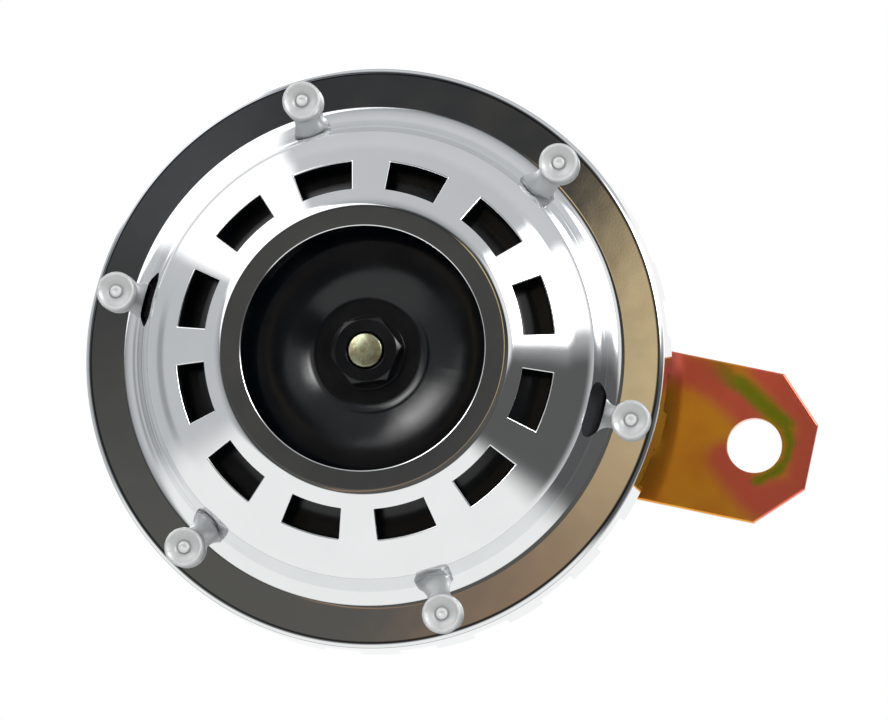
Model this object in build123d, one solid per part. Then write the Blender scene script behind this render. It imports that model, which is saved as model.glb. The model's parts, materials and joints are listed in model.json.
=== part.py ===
from build123d import *
import math
import os

# Electric disc horn: a pressed front cover with a round mouth and a ring of slots, a tone disc
# on a vibrating armature, an electromagnet and contact breaker in a steel cup, and a strap
# bracket on the back.  Lengths are millimetres and angles are degrees.
#
# Every piece is drawn in the horn's own frame: the horn axis is Z, the front looks along +Z,
# height 0 is the back of the housing, where the bracket seats, and the bracket runs along +X.
# At the end the pieces are turned so that the front looks along -Y and +Z is up, with the
# origin at the centre of the bracket's free hole, on the face that meets the vehicle.

# ---------------------------------------------------------------- driving sizes
# Whole horn
body_depth = 35.0            # back of the housing to the plane of the mouth
rim_depth = 12.7             # plane of the mouth to the front of the rim flange
rivet_twist = -2.4           # the ring of rivets, turned from the bracket
slot_twist = -4.6            # the ring of slots, turned from the bracket

# Front cover
cover_sheet = 0.8
mouth_radius = 19.4
mouth_ring_width = 3.9
cone_angle = 24.0
wall_angle = 68.0
mouth_bend = 4.0
shoulder_bend = 3.0
foot_bend = 2.2
rim_radius = 46.8
rim_bend = 1.4
shoulder_inset = 11.5        # shoulder to the rim
skirt_length = 9.3
skirt_flare = 4.3
slot_count = 12
slot_land = 2.4              # mouth ring to the slots
slot_length = 4.5
slot_width_angle = 17.4
tab_count = 24
tab_length = 4.4
tab_share = 0.5              # part of each pitch that is tab
pocket_radius = 3.1
pocket_setback = 0.27        # foot of the wall to the centre of a pocket
pocket_floor = 0.1           # pocket to the front of the flange
window_length = 9.0
window_height = 4.4
window_floor = 0.8           # drain window to the front of the flange

# Clamped rim stack
rivet_count = 6
rivet_edge_distance = 3.8    # rivet centres to the rim
rivet_shank_radius = 1.6
rivet_head_radius = 3.2
rivet_head_height = 2.2
rivet_head_round = 0.75
rivet_dish_radius = 2.0
rivet_dish_depth = 0.6
rivet_boss_radius = 1.0
rivet_boss_depth = 0.15      # top of the head to the boss inside the dish
rivet_tail_radius = 2.1
rivet_tail_height = 1.4
gasket_thickness = 0.5
gasket_width = 5.8
stack_edge_gap = 0.8         # stack to the inside of the skirt
diaphragm_thickness = 0.4
corrugation_height = 0.8
corrugation_width = 9.0
corrugation_margin = 6.4     # gaskets to the corrugation

# Housing
housing_sheet = 1.0
housing_base_radius = 30.0
housing_lower_draft = 1.0    # the wall below the step leans out by this
housing_upper_draft = 0.3    # and above the step by this
housing_flange_width = 8.6
housing_step_height = 9.0
housing_step_rise = 2.6
housing_bend = 2.5

# Vibrating set on the stud
stud_radius = 3.0            # M6
stud_chamfer = 0.4
stud_beyond_nut = 0.3
tone_disc_sheet = 1.2
tone_disc_edge_gap = 2.3     # disc to the radius of the cover's shoulder
tone_disc_seat_margin = 2.9  # washer to the edge of the flat seat
tone_disc_crest_radius = 16.3
tone_disc_crest_rise = 3.1
tone_disc_rim_width = 6.5
tone_disc_rim_drop = 0.5
tone_disc_lip = 2.0
tone_disc_seat_bend = 3.0
tone_disc_crest_bend = 18.0
tone_disc_rim_bend = 8.0
tone_disc_lip_bend = 1.5
disc_washer_radius = 6.0
disc_washer_thickness = 1.0
disc_nut_across_flats = 10.0
disc_nut_thickness = 3.2
disc_nut_twist = 18.7
spacer_radius = 5.2
spacer_length = 3.7
clamp_washer_radius = 8.5
clamp_washer_thickness = 1.0
armature_overhang = 0.4      # armature beyond the bobbin
armature_thickness = 4.1
armature_edge_round = 0.6
armature_hub_radius = 7.5
armature_hub_height = 1.0
armature_travel = 0.4        # each way from rest

# Electromagnet
pole_clearance = 0.6         # armature to pole at the end of the travel
pole_proud = 1.5             # pole beyond the bobbin
bobbin_wall = 1.0
bobbin_flange_thickness = 1.2
winding_margin = 1.0         # edge of the bobbin to the winding
winding_depth = 6.8          # from the outside of the winding to its bore

# Mounting stud, bracket and its fasteners
mount_stud_radius = 4.0      # M8
bracket_thickness = 2.5
bracket_width = 25.0
bracket_reach = 61.5         # horn axis to the free hole
bracket_hole_radius = 4.5
bracket_end_margin = 9.5     # free hole to the end of the strap
bracket_corner_cut = 7.1
bracket_edge_round = 0.3
mount_washer_margin = 4.5    # washer to each side of the bracket
mount_washer_thickness = 1.6
lock_washer_radius = 7.0
lock_washer_thickness = 2.0
lock_washer_split = 1.2
lock_washer_twist = 35.0
mount_nut_across_flats = 13.0
mount_nut_thickness = 6.5
mount_nut_twist = 11.0
mount_stud_beyond_nut = 1.5

# Contact breaker
contact_leaf_thickness = 0.4
contact_leaf_width = 5.6
contact_block_length = 8.4
contact_block_offset = 9.5   # along the bracket, away from its free end
contact_block_setback = 9.2  # edge of the base to the middle of the block
contact_block_gap = 0.4      # block to the bobbin
contact_insulator_thickness = 1.0
contact_clamp_thickness = 1.0
contact_tip_radius = 1.6
contact_tip_height = 0.5
contact_tip_offset = 12.5    # block centre to the tips
contact_leaf_end = 3.2       # tips to the free end of the moving leaf
contact_tail_length = 2.8    # soldering tail of the moving leaf
contact_tail_width = 3.0
contact_nose_overlap = 2.6   # reach of the moving leaf's nose under the armature
contact_nose_width = 5.0
contact_nose_round = 1.0
contact_nose_clearance = 0.2 # moving leaf to the armature at the end of the travel
pile_rivet_radius = 0.8
pile_rivet_spacing = 4.2
pile_rivet_head_height = 0.8
adjuster_radius = 2.0        # M4
adjuster_offset = 18.5       # block centre to the adjusting screw
adjuster_nut_across_flats = 7.0
adjuster_nut_thickness = 3.2
adjuster_beyond_nut = 2.0
adjuster_slot_width = 0.8
adjuster_slot_depth = 1.2

# Terminals
terminal_setback = 8.2       # edge of the base to the line of the terminals
terminal_spacing = 14.0
terminal_blade_width = 6.3
terminal_sheet = 0.8
terminal_bend = 0.4          # inside radius
terminal_blade_length = 11.0
terminal_hole_distance = 3.7 # tip of the blade to its hole
terminal_foot_length = 7.2
terminal_hole_radius = 0.85
terminal_tip_cut = 1.3
terminal_plate_width = 10.0
terminal_plate_length = 22.0
terminal_plate_thickness = 2.0
terminal_plate_round = 2.0
inner_plate_width = 6.6
inner_plate_thickness = 0.8
terminal_rivet_radius = 1.6
terminal_rivet_bore = 0.9
terminal_rivet_head_radius = 2.6
terminal_rivet_head_height = 0.8
strap_thickness = 0.5
strap_width = 3.4

# Spark resistor and coil leads
resistor_radius = 1.5
resistor_length = 6.5
resistor_height = 7.0        # its axis above the back of the housing
resistor_lead_radius = 0.3
resistor_foot_distance = 4.4 # live terminal to the lead's foot on the strap
coil_lead_radius = 0.4
coil_lead_reach = 2.6        # winding to the bend of a lead
coil_lead_bend = 1.0
coil_lead_height = 6.0       # above the back of the housing
earth_lead_angle = 206.0     # where the lead to the earth terminal leaves the winding
leaf_lead_angle = 140.0      # where the lead to the moving leaf leaves the winding
coil_lead_setback = 1.3      # leaf tail: pile to the coil lead
resistor_lead_setback = 2.3  # leaf tail: pile to the resistor lead
tail_lead_offset = 0.7       # leaf tail: centre line to each lead

# Clearances
rivet_clearance = 0.1
thread_clearance = 0.05
shaft_clearance = 0.1
coil_clearance = 0.15
insulation_clearance = 0.3
bolt_clearance = 0.2
bend_fit = 0.98               # share of a wall that the bends at its two ends may take up

nut_chamfer_share = 0.6      # a nut's chamfer: its height as a share of its run

# ---------------------------------------------------------------- radii and places worked out
cone_start = mouth_radius + mouth_ring_width
shoulder_radius = rim_radius - shoulder_inset
slot_inner_radius = cone_start + slot_land
rivet_circle_radius = rim_radius - rivet_edge_distance
skirt_inner_radius = rim_radius - cover_sheet
stack_radius = skirt_inner_radius - stack_edge_gap
corrugation_outer_radius = stack_radius - gasket_width - corrugation_margin
corrugation_inner_radius = corrugation_outer_radius - corrugation_width
housing_mouth_radius = stack_radius - housing_flange_width
tone_disc_radius = shoulder_radius - tone_disc_edge_gap

contact_block_centre = (-contact_block_offset, housing_base_radius - contact_block_setback)
bobbin_flange_radius = contact_block_centre[1] - contact_leaf_width / 2 - contact_block_gap
winding_radius = bobbin_flange_radius - winding_margin
winding_bore = winding_radius - winding_depth
pole_radius = winding_bore - bobbin_wall - 2 * coil_clearance
armature_radius = bobbin_flange_radius + armature_overhang
mount_washer_radius = bracket_width / 2 - mount_washer_margin
tip_place = (contact_block_centre[0] + contact_tip_offset, contact_block_centre[1])
adjuster_place = (contact_block_centre[0] + adjuster_offset, contact_block_centre[1])
pile_rivet_places = [
    (contact_block_centre[0] - pile_rivet_spacing / 2, contact_block_centre[1]),
    (contact_block_centre[0] + pile_rivet_spacing / 2, contact_block_centre[1]),
]
terminal_x = terminal_setback - housing_base_radius
terminal_places = [
    (terminal_x, terminal_spacing / 2),
    (terminal_x, -terminal_spacing / 2),
]

# ---------------------------------------------------------------- heights worked out
mouth_height = body_depth
rim_front = body_depth - rim_depth
rim_back = rim_front - cover_sheet
diaphragm_front = rim_back - gasket_thickness
diaphragm_back = diaphragm_front - diaphragm_thickness
flange_front = diaphragm_back - gasket_thickness
flange_back = flange_front - housing_sheet
skirt_end = rim_front - skirt_length

armature_front = diaphragm_back - armature_hub_height
armature_back = armature_front - armature_thickness
pole_face = armature_back - armature_travel - pole_clearance
bobbin_front = pole_face - pole_proud
clamp_washer_front = diaphragm_front + clamp_washer_thickness
spacer_front = clamp_washer_front + spacer_length
disc_seat_front = spacer_front + tone_disc_sheet
disc_washer_front = disc_seat_front + disc_washer_thickness
disc_nut_front = disc_washer_front + disc_nut_thickness
stud_front = disc_nut_front + stud_beyond_nut
stud_back = armature_back + stud_chamfer

bracket_back = -bracket_thickness
mount_washer_back = bracket_back - mount_washer_thickness
lock_washer_back = mount_washer_back - lock_washer_thickness
mount_nut_back = lock_washer_back - mount_nut_thickness
mount_stud_back = mount_nut_back - mount_stud_beyond_nut

# The pile of contact leaves, from the top down: clamp plate, insulator, moving leaf, insulator,
# fixed leaf, lug of the live strap, then the moulded block that carries them.
moving_leaf_front = armature_back - armature_travel - contact_nose_clearance
moving_leaf_back = moving_leaf_front - contact_leaf_thickness
fixed_leaf_front = moving_leaf_back - 2 * contact_tip_height
fixed_leaf_back = fixed_leaf_front - contact_leaf_thickness
block_front = fixed_leaf_back - strap_thickness
pile_clamp_back = moving_leaf_front + contact_insulator_thickness
pile_clamp_front = pile_clamp_back + contact_clamp_thickness


# ---------------------------------------------------------------- shared shapes
def disc(radius, low, high, bore=0.0):
    """A plain round piece about the horn axis between two heights."""
    face = Circle(radius)
    if bore:
        face -= Circle(bore)
    return Pos(0, 0, low) * extrude(face, high - low)


def turned(corners, bends):
    """Turn a closed outline of (radius, height) corners, rounded by the bends, about the axis."""
    outline = FilletPolyline(*corners, radius=bends, close=True)
    return revolve(Plane.XZ * make_face(outline), Axis.Z)


def within_walls(runs, bends):
    """The bends, each no larger than the straight walls on both sides of it leave room for."""
    needs = []
    for before, after, bend in zip(runs, runs[1:], bends):
        needs.append(bend * math.tan(math.radians(before.get_angle(after)) / 2))
    rooms = []
    for run, need_before, need_after in zip(runs, [0, *needs], [*needs, 0]):
        rooms.append(bend_fit * run.length / (need_before + need_after))
    return [bend * min(1, *pair) for bend, pair in zip(bends, zip(rooms, rooms[1:]))]


def pressed_sheet(corners, bends, sheet):
    """Turn a bent strip: the corners and bends of its front face, with the sheet behind them."""
    walls = [Vector(*end) - Vector(*start) for start, end in zip(corners, corners[1:])]
    bends = within_walls(walls, bends)
    runs = [wall.normalized() for wall in walls]
    behind = [Vector(run.Y, -run.X) for run in runs]
    back_corners = [Vector(*corners[0]) + behind[0] * sheet]
    back_bends = []
    for index, bend in enumerate(bends):
        before, after = behind[index], behind[index + 1]
        step = (before + after) * (sheet / (1 + before.dot(after)))
        back_corners.append(Vector(*corners[index + 1]) + step)
        turns_back = runs[index].cross(runs[index + 1]).Z < 0
        back_bends.append(bend - sheet if turns_back else bend + sheet)
    back_corners.append(Vector(*corners[-1]) + behind[-1] * sheet)
    outline = [Vector(*corner) for corner in corners] + back_corners[::-1]
    all_bends = [0, *bends, 0, 0, *back_bends[::-1], 0]
    return turned(outline, all_bends)


def ring_sector(inner, outer, angle, low, high):
    """A block shaped like a sector of a ring, centred on the X axis."""
    side = outer * 2 * math.tan(math.radians(angle / 2))
    wedge = Polygon((0, 0), (outer * 2, -side), (outer * 2, side), align=None)
    return Pos(0, 0, low) * extrude((Circle(outer) - Circle(inner)) & wedge, high - low)


def around(count, twist, piece):
    """Copies of a piece spaced evenly about the horn axis, the first turned by the twist."""
    return [place * piece for place in PolarLocations(0, count, twist)]


def hex_nut(across_flats, thickness, bore, twist):
    """A nut with both faces chamfered to a circle, standing on height 0."""
    corner_radius = across_flats / math.sqrt(3)
    chamfer_run = corner_radius - across_flats / 2
    chamfer_height = chamfer_run * nut_chamfer_share
    prism = extrude(RegularPolygon(corner_radius, 6, rotation=twist), thickness)
    crown = turned(
        [
            (0, 0),
            (across_flats / 2, 0),
            (corner_radius, chamfer_height),
            (corner_radius, thickness - chamfer_height),
            (across_flats / 2, thickness),
            (0, thickness),
        ],
        0,
    )
    return (prism & crown) - extrude(Circle(bore), thickness)


def rim_holes(low, high):
    """Cutters for the rim rivets' holes between two heights."""
    hole = Pos(rivet_circle_radius, 0, low) * extrude(
        Circle(rivet_shank_radius + rivet_clearance), high - low
    )
    return around(rivet_count, rivet_twist, hole)


# ---------------------------------------------------------------- front cover
cone_drop = (shoulder_radius - cone_start) * math.tan(math.radians(cone_angle))
wall_run = (rim_depth - cone_drop) / math.tan(math.radians(wall_angle))
foot_radius = shoulder_radius + wall_run
skirt_end_radius = rim_radius + skirt_length * math.tan(math.radians(skirt_flare))
cover_corners = [
    (mouth_radius, mouth_height),
    (cone_start, mouth_height),
    (shoulder_radius, mouth_height - cone_drop),
    (foot_radius, rim_front),
    (rim_radius, rim_front),
    (skirt_end_radius, skirt_end),
]
cover_bends = [mouth_bend, shoulder_bend, foot_bend, rim_bend]


def pocket_cover(cover):
    """Press a round pocket into the wall beside each rivet that has no drain window."""
    centre_height = rim_front + pocket_floor + pocket_radius
    behind_front = turned(
        [
            (0, mouth_height),
            *cover_corners[1:4],
            (rivet_circle_radius, rim_front),
            (rivet_circle_radius, rim_back),
            (0, rim_back),
        ],
        [0, mouth_bend, shoulder_bend, foot_bend, 0, 0, 0],
    )
    centre = Pos(foot_radius - pocket_setback, 0, centre_height)
    hollow = centre * Sphere(pocket_radius)
    shell = centre * (Sphere(pocket_radius + cover_sheet) - Sphere(pocket_radius))
    for index, place in enumerate(PolarLocations(0, rivet_count, rivet_twist)):
        if index % (rivet_count // 2):
            cover = (cover - place * hollow) + (place * shell & behind_front)
    return cover


def make_front_cover():
    cover = pocket_cover(pressed_sheet(cover_corners, cover_bends, cover_sheet))
    slot = ring_sector(
        slot_inner_radius,
        slot_inner_radius + slot_length,
        slot_width_angle,
        rim_front,
        mouth_height,
    )
    window_middle = rim_front + window_floor + window_height / 2
    window = Pos(0, 0, window_middle) * extrude(
        Plane.YZ * SlotOverall(window_length, window_height), rivet_circle_radius - rivet_shank_radius
    )
    pitch = 360 / tab_count
    notch_angle = pitch * (1 - tab_share)
    notch = ring_sector(
        stack_radius,
        skirt_end_radius + cover_sheet,
        notch_angle,
        skirt_end - cover_sheet,
        skirt_end + tab_length,
    )
    cover -= around(slot_count, slot_twist, slot)
    cover -= around(2, rivet_twist, window)
    cover -= around(tab_count, rivet_twist + pitch / 2, notch)
    cover -= rim_holes(rim_back, rim_front)
    return cover


# ---------------------------------------------------------------- clamped rim stack
def make_gasket(back):
    gasket = disc(stack_radius, back, back + gasket_thickness, stack_radius - gasket_width)
    return gasket - rim_holes(back, back + gasket_thickness)


def make_diaphragm():
    ridge = corrugation_height
    diaphragm = pressed_sheet(
        [
            (stud_radius + shaft_clearance, diaphragm_front),
            (corrugation_inner_radius, diaphragm_front),
            (corrugation_inner_radius + 2 * ridge, diaphragm_front + ridge),
            (corrugation_outer_radius - 2 * ridge, diaphragm_front + ridge),
            (corrugation_outer_radius, diaphragm_front),
            (stack_radius, diaphragm_front),
        ],
        [ridge] * 4,
        diaphragm_thickness,
    )
    return diaphragm - rim_holes(diaphragm_back, diaphragm_front)


def make_cover_rivets():
    tail_back = flange_back - rivet_tail_height
    head_front = rim_front + rivet_head_height
    dish_floor = head_front - rivet_dish_depth
    boss_front = head_front - rivet_boss_depth
    rivet = turned(
        [
            (0, tail_back),
            (rivet_tail_radius, tail_back),
            (rivet_tail_radius, flange_back),
            (rivet_shank_radius, flange_back),
            (rivet_shank_radius, rim_front),
            (rivet_head_radius, rim_front),
            (rivet_head_radius, head_front),
            (rivet_dish_radius, head_front),
            (rivet_dish_radius, dish_floor),
            (rivet_boss_radius, dish_floor),
            (rivet_boss_radius, boss_front),
            (0, boss_front),
        ],
        [0, rivet_tail_height / 2, 0, 0, 0, 0, rivet_head_round, 0, 0, 0, 0, 0],
    )
    return Compound(children=around(rivet_count, rivet_twist, Pos(rivet_circle_radius, 0, 0) * rivet))


# ---------------------------------------------------------------- housing
def make_housing():
    base_front = housing_sheet
    housing = pressed_sheet(
        [
            (mount_stud_radius + bolt_clearance, base_front),
            (housing_base_radius, base_front),
            (housing_base_radius + housing_lower_draft, housing_step_height),
            (housing_mouth_radius - housing_upper_draft, housing_step_height + housing_step_rise),
            (housing_mouth_radius, flange_front),
            (stack_radius, flange_front),
        ],
        [housing_bend] * 4,
        housing_sheet,
    )
    housing -= rim_holes(flange_back, flange_front)
    insulated = Circle(terminal_rivet_radius + insulation_clearance)
    housing -= [Pos(*place, 0) * extrude(insulated, base_front) for place in terminal_places]
    housing -= Pos(*adjuster_place, 0) * extrude(Circle(adjuster_radius + thread_clearance), base_front)
    housing -= [
        Pos(*place, 0) * extrude(Circle(pile_rivet_radius + thread_clearance), base_front)
        for place in pile_rivet_places
    ]
    return housing


# ---------------------------------------------------------------- vibrating set
def make_tone_disc():
    """A dished disc with a raised ring round its seat and a turned-back lip."""
    crest = disc_seat_front + tone_disc_crest_rise
    rim = disc_seat_front - tone_disc_rim_drop
    return pressed_sheet(
        [
            (stud_radius + shaft_clearance, disc_seat_front),
            (disc_washer_radius + tone_disc_seat_margin, disc_seat_front),
            (tone_disc_crest_radius, crest),
            (tone_disc_radius - tone_disc_rim_width, rim),
            (tone_disc_radius, rim),
            (tone_disc_radius, rim - tone_disc_lip),
        ],
        [tone_disc_seat_bend, tone_disc_crest_bend, tone_disc_rim_bend, tone_disc_lip_bend],
        tone_disc_sheet,
    )


def make_armature_stud():
    stud = disc(stud_radius, stud_back, stud_front)
    return chamfer(stud.edges().filter_by(GeomType.CIRCLE), stud_chamfer)


def make_armature():
    bore = stud_radius + thread_clearance
    return turned(
        [
            (bore, armature_back),
            (armature_radius, armature_back),
            (armature_radius, armature_front),
            (armature_hub_radius, armature_front),
            (armature_hub_radius, diaphragm_back),
            (bore, diaphragm_back),
        ],
        [0, armature_edge_round, armature_edge_round, 0, 0, 0],
    )


def make_disc_nut():
    bore = stud_radius + thread_clearance
    nut = hex_nut(disc_nut_across_flats, disc_nut_thickness, bore, disc_nut_twist)
    return Pos(0, 0, disc_washer_front) * nut


# ---------------------------------------------------------------- electromagnet
def make_pole_core():
    """The pole stands on the base and runs on through it as the mounting stud."""
    pole_back = housing_sheet
    core = turned(
        [
            (0, mount_stud_back),
            (mount_stud_radius, mount_stud_back),
            (mount_stud_radius, pole_back),
            (pole_radius, pole_back),
            (pole_radius, pole_face),
            (0, pole_face),
        ],
        0,
    )
    ends = core.edges().filter_by(GeomType.CIRCLE).sort_by(Axis.Z)
    return chamfer([ends[0], ends[-1]], stud_chamfer)


def make_bobbin():
    low = housing_sheet
    high = bobbin_front
    bore = pole_radius + coil_clearance
    tube = bore + bobbin_wall
    return turned(
        [
            (bore, low),
            (bobbin_flange_radius, low),
            (bobbin_flange_radius, low + bobbin_flange_thickness),
            (tube, low + bobbin_flange_thickness),
            (tube, high - bobbin_flange_thickness),
            (bobbin_flange_radius, high - bobbin_flange_thickness),
            (bobbin_flange_radius, high),
            (bore, high),
        ],
        0,
    )


def make_winding():
    low = housing_sheet + bobbin_flange_thickness
    high = bobbin_front - bobbin_flange_thickness
    return disc(winding_radius, low, high, winding_bore)


# ---------------------------------------------------------------- contact breaker
riser_x = contact_block_centre[0] - contact_block_length / 2
strap_end = Vector(riser_x - strap_thickness / 2, contact_block_centre[1])


def pile_plate(low, high):
    """A plate of the pile's outline between two heights, drilled for the two pile rivets."""
    plate = Pos(*contact_block_centre, low) * extrude(
        Rectangle(contact_block_length, contact_leaf_width), high - low
    )
    hole = extrude(Circle(pile_rivet_radius + thread_clearance), high - low)
    return plate - [Pos(*place, low) * hole for place in pile_rivet_places]


def contact_leaf(low, reach):
    """A leaf spring from the pile to a rounded free end, a given way past the block's centre."""
    high = low + contact_leaf_thickness
    blade_start = contact_block_length / 2 - contact_leaf_thickness
    blade_length = reach - blade_start
    blade = Pos(contact_block_centre[0] + blade_start + blade_length / 2, contact_block_centre[1], low)
    return pile_plate(low, high) + blade * extrude(
        RectangleRounded(blade_length, contact_leaf_width, contact_leaf_width / 4), high - low
    )


def make_moving_leaf():
    leaf = contact_leaf(moving_leaf_back, contact_tip_offset + contact_leaf_end)
    tail = Pos(riser_x - contact_tail_length / 2, contact_block_centre[1], moving_leaf_back)
    leaf += tail * extrude(
        Rectangle(contact_tail_length + contact_leaf_thickness, contact_tail_width),
        contact_leaf_thickness,
    )
    nose_length = tip_place[1] - armature_radius + contact_nose_overlap
    nose = Pos(tip_place[0], tip_place[1] - nose_length / 2, moving_leaf_back)
    return leaf + nose * extrude(
        RectangleRounded(contact_nose_width, nose_length, contact_nose_round), contact_leaf_thickness
    )


def make_live_strap():
    """From the live terminal across the base, up the side of the block and over its top."""
    low = housing_sheet + inner_plate_thickness
    high = low + strap_thickness
    eye = Pos(*terminal_places[0], low)
    run = strap_end - Vector(*terminal_places[0])
    along = Rot(0, 0, math.degrees(math.atan2(run.Y, run.X)))
    bar = Pos(run.length / 2, 0, 0) * extrude(
        SlotCenterToCenter(run.length, strap_width), strap_thickness
    )
    riser_height = block_front + strap_thickness - low
    riser = Pos(strap_end.X, strap_end.Y, low + riser_height / 2) * Box(
        strap_thickness, strap_width, riser_height
    )
    strap = eye * extrude(Circle(terminal_rivet_head_radius), strap_thickness)
    strap += eye * along * bar
    strap -= eye * extrude(Circle(terminal_rivet_radius + thread_clearance), strap_thickness)
    beside_block = Pos(riser_x + contact_block_length / 2, contact_block_centre[1], low) * extrude(
        Rectangle(contact_block_length, 2 * contact_block_length), strap_thickness
    )
    return (strap - beside_block) + riser + pile_plate(block_front, block_front + strap_thickness)


def make_pile_rivets():
    head_radius = pile_rivet_radius * 2
    rivet = turned(
        [
            (0, -pile_rivet_head_height),
            (head_radius, -pile_rivet_head_height),
            (head_radius, 0),
            (pile_rivet_radius, 0),
            (pile_rivet_radius, pile_clamp_front),
            (head_radius, pile_clamp_front),
            (head_radius, pile_clamp_front + pile_rivet_head_height),
            (0, pile_clamp_front + pile_rivet_head_height),
        ],
        0,
    )
    return Compound(children=[Pos(*place, 0) * rivet for place in pile_rivet_places])


def make_adjusting_screw():
    """Set screw through the base that carries the fixed leaf, slotted on its outer end."""
    back = -adjuster_nut_thickness - adjuster_beyond_nut
    screw = turned(
        [
            (0, back),
            (adjuster_radius, back),
            (adjuster_radius, fixed_leaf_back - adjuster_radius / 2),
            (adjuster_radius / 2, fixed_leaf_back),
            (0, fixed_leaf_back),
        ],
        0,
    )
    slot = Pos(0, 0, back + adjuster_slot_depth / 2) * Box(
        2 * adjuster_radius, adjuster_slot_width, adjuster_slot_depth
    )
    return Pos(*adjuster_place, 0) * (screw - slot)


def adjuster_nut(low):
    nut = hex_nut(
        adjuster_nut_across_flats, adjuster_nut_thickness, adjuster_radius + thread_clearance, 0
    )
    return Pos(*adjuster_place, low) * nut


# ---------------------------------------------------------------- terminals
def terminal_holes(low, high):
    hole = extrude(Circle(terminal_rivet_radius + thread_clearance), high - low)
    return [Pos(*place, low) * hole for place in terminal_places]


def make_terminal_plate():
    plate = Pos(terminal_x, 0, -terminal_plate_thickness) * extrude(
        RectangleRounded(terminal_plate_width, terminal_plate_length, terminal_plate_round),
        terminal_plate_thickness,
    )
    return plate - terminal_holes(-terminal_plate_thickness, 0)


def make_inner_plate():
    low = housing_sheet
    plate = Pos(terminal_x, 0, low) * extrude(
        Rectangle(inner_plate_width, terminal_plate_length), inner_plate_thickness
    )
    return plate - terminal_holes(low, low + inner_plate_thickness)


def make_terminal(place):
    """A spade: a foot flat on the plate, bent through a right angle into the blade."""
    foot_face = -terminal_plate_thickness
    inner_end = terminal_foot_length / 2
    outer_face = -terminal_foot_length / 2
    tip = foot_face - terminal_sheet - terminal_blade_length
    profile = FilletPolyline(
        (inner_end, foot_face),
        (outer_face, foot_face),
        (outer_face, tip),
        (outer_face + terminal_sheet, tip),
        (outer_face + terminal_sheet, foot_face - terminal_sheet),
        (inner_end, foot_face - terminal_sheet),
        radius=[0, terminal_bend + terminal_sheet, 0, 0, terminal_bend, 0],
        close=True,
    )
    spade = extrude(Plane.XZ * make_face(profile), terminal_blade_width / 2, both=True)
    tip_edges = spade.edges().filter_by(Axis.X).group_by(Axis.Z)[0]
    spade = chamfer(tip_edges, terminal_tip_cut)
    blade_hole = extrude(Plane.YZ * Circle(terminal_hole_radius), terminal_foot_length, both=True)
    spade -= Pos(0, 0, tip + terminal_hole_distance) * blade_hole
    rivet_hole = extrude(
        Circle(terminal_rivet_radius + thread_clearance), terminal_plate_thickness, both=True
    )
    spade -= Pos(0, 0, foot_face) * rivet_hole
    return Pos(*place, 0) * spade


def make_terminal_rivets():
    """Tubular rivets that clamp the spades, plates and straps to the base."""
    back = -terminal_plate_thickness - terminal_sheet
    front = housing_sheet + inner_plate_thickness + strap_thickness
    rivet = turned(
        [
            (terminal_rivet_bore, back - terminal_rivet_head_height),
            (terminal_rivet_head_radius, back - terminal_rivet_head_height),
            (terminal_rivet_head_radius, back),
            (terminal_rivet_radius, back),
            (terminal_rivet_radius, front),
            (terminal_rivet_head_radius, front),
            (terminal_rivet_head_radius, front + terminal_rivet_head_height),
            (terminal_rivet_bore, front + terminal_rivet_head_height),
        ],
        [0, terminal_rivet_head_height / 2, 0, 0, 0, 0, terminal_rivet_head_height / 2, 0],
    )
    return Compound(children=[Pos(*place, 0) * rivet for place in terminal_places])


# ---------------------------------------------------------------- wires and resistor
def polar(radius, angle):
    return Vector(radius, 0).rotate(Axis.Z, angle)


def at_height(point, height):
    return Vector(point.X, point.Y, height)


def wire(points, radius, bend):
    """A round wire along straight runs joined by arcs."""
    path = FilletPolyline(*points, radius=bend)
    return sweep((path ^ 0) * Circle(radius), path=path)


strap_top = housing_sheet + inner_plate_thickness + strap_thickness
earth_lead_foot = polar(winding_radius + coil_lead_reach, earth_lead_angle)
coil_lead_end = Vector(riser_x - coil_lead_setback, contact_block_centre[1] + tail_lead_offset)
resistor_lead_end = Vector(
    riser_x - resistor_lead_setback, contact_block_centre[1] - tail_lead_offset
)


def make_coil_leads():
    """One lead from the winding to the earth strap, and one to the tail of the moving leaf."""
    to_earth = [
        at_height(polar(winding_radius, earth_lead_angle), coil_lead_height),
        at_height(earth_lead_foot, coil_lead_height),
        at_height(earth_lead_foot, strap_top),
    ]
    leaf_lead_bend = polar(winding_radius + coil_lead_reach, leaf_lead_angle)
    to_leaf = [
        at_height(polar(winding_radius, leaf_lead_angle), coil_lead_height),
        at_height(leaf_lead_bend, coil_lead_height),
        at_height(leaf_lead_bend, block_front),
        at_height(coil_lead_end, block_front),
        at_height(coil_lead_end, moving_leaf_back),
    ]
    return Compound(
        children=[wire(points, coil_lead_radius, coil_lead_bend) for points in (to_earth, to_leaf)]
    )


def make_resistor():
    """A round resistor held by its leads between the live strap and the moving leaf's tail."""
    live = Vector(*terminal_places[0])
    foot = live + (strap_end - live).normalized() * resistor_foot_distance
    low_end = at_height(foot, resistor_height)
    high_end = at_height(resistor_lead_end, resistor_height)
    leads = wire(
        [
            at_height(foot, strap_top),
            low_end,
            high_end,
            at_height(resistor_lead_end, moving_leaf_back),
        ],
        resistor_lead_radius,
        2 * resistor_lead_radius,
    )
    axis_plane = Plane((low_end + high_end) / 2, z_dir=high_end - low_end)
    return leads + axis_plane * Cylinder(resistor_radius, resistor_length)


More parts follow.
